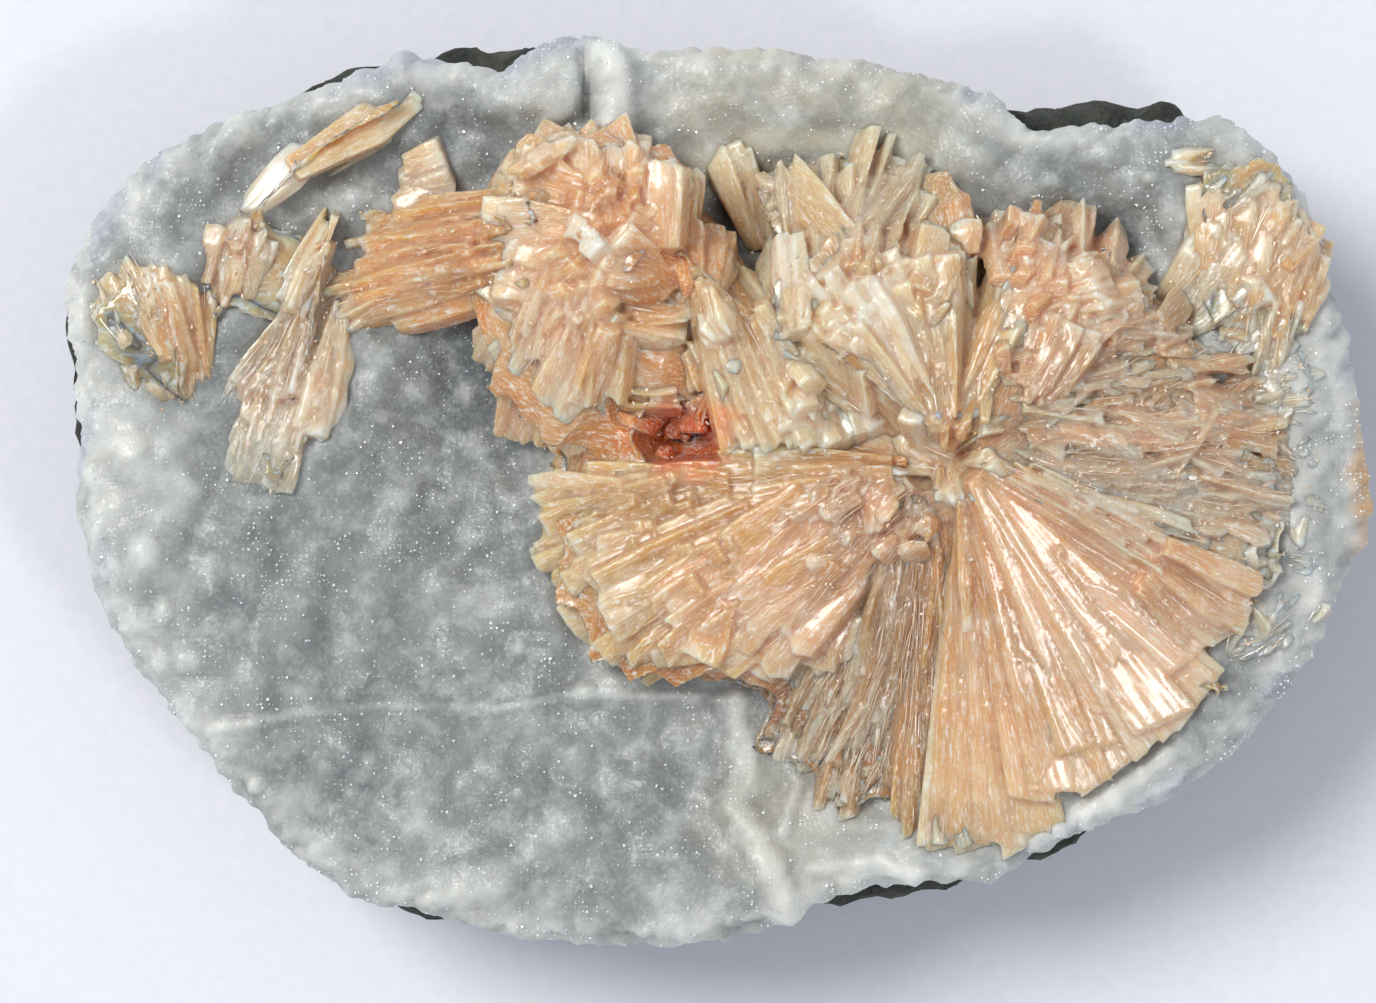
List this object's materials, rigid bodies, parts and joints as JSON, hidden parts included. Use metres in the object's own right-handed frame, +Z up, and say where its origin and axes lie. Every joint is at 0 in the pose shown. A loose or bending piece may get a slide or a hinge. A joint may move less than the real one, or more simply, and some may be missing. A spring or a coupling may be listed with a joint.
{
  "type": "stilbite specimen",
  "caption": "Mineral specimen: sprays of flat peach stilbite crystals on a crust of sugary blue-grey chalcedony over dark basalt, lying on a flat foot.",
  "frame": {"origin": "middle of the specimen's bounding box in plan, at the level of its flat foot", "axes": "+Z up from the foot, +X along the specimen's length towards the side with the large spray, +Y across it"},
  "size_m": [0.1037, 0.0718, 0.0315],
  "materials": {
    "basalt": "rough, broken, very dark green-grey",
    "chalcedony": "translucent blue-grey with a sugary sparkling skin",
    "stilbite": "peach, pearly and lightly striated",
    "stilbite_orange": "orange, silky"
  },
  "bodies": {
    "root": {"basalt_matrix": "basalt", "chalcedony_crust": "chalcedony", "stilbite_main_spray": "stilbite", "stilbite_left_sheaf": "stilbite", "stilbite_orange_fan": "stilbite_orange", "stilbite_right_sheaf": "stilbite"}
  },
  "joints": []
}
